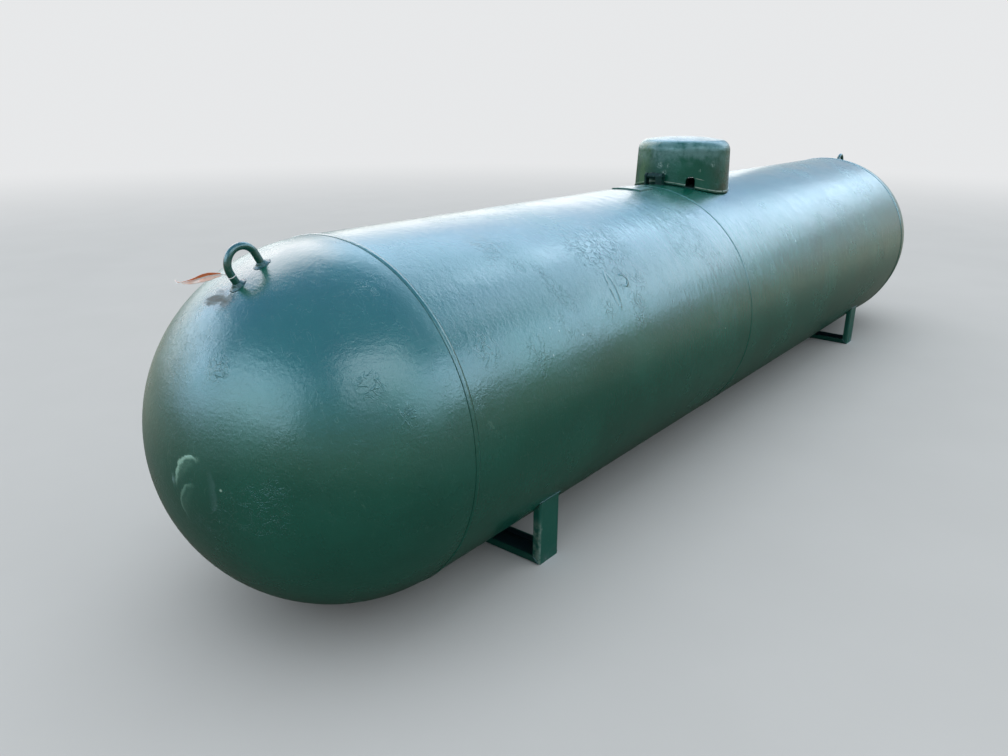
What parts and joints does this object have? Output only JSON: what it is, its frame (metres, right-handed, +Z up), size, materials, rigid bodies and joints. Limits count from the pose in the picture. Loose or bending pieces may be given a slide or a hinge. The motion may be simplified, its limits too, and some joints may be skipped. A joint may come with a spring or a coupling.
{
  "type": "horizontal pressure tank",
  "caption": "Long welded gas storage vessel with round ends, lifting lugs, low channel leg frames and a hinged hood over its valves.",
  "frame": {"origin": "on the floor under the middle of the vessel", "axes": "+X along the vessel toward the far head, +Z up, -Y the side that faces the camera"},
  "size_m": [5.08, 1.036, 1.2325],
  "materials": {
    "shell_paint": "glossy brushed-on enamel over steel",
    "brass": "dull turned brass",
    "handwheel_paint": "enamel",
    "tie_plastic": "thin plastic tie",
    "tag_plastic": "thin flexible plastic"
  },
  "bodies": {
    "tank": {"near_head": "shell_paint", "far_head": "shell_paint", "near_course": "shell_paint", "far_course": "shell_paint", "near_girth_weld": "shell_paint", "middle_girth_weld": "shell_paint", "far_girth_weld": "shell_paint", "near_long_weld": "shell_paint", "far_long_weld": "shell_paint", "near_lifting_lug": "shell_paint", "far_lifting_lug": "shell_paint", "crown_plate": "shell_paint", "near_front_post": "shell_paint", "near_back_post": "shell_paint", "near_cross_channel": "shell_paint", "far_front_post": "shell_paint", "far_back_post": "shell_paint", "far_cross_channel": "shell_paint", "hinge_ears": "shell_paint", "hinge_pin": "shell_paint", "lock_staple": "shell_paint", "couplings": "shell_paint", "relief_valve": "brass", "filler_valve": "brass", "vapour_valve": "brass", "service_valve": "brass", "handwheel": "handwheel_paint", "float_gauge": "brass", "level_valve": "brass", "tag_tie": "tie_plastic", "hang_tag": "tag_plastic"},
    "hood_cover": {"hood": "shell_paint", "hinge_strap": "shell_paint", "hood_hasp": "shell_paint"}
  },
  "joints": [
    {"name": "hood_hinge", "type": "hinge", "parent": "tank", "child": "hood_cover", "pos_m": [-0.2265, 0.015, 1.073], "axis": [0, -1, 0], "range_deg": [0, 112]}
  ]
}
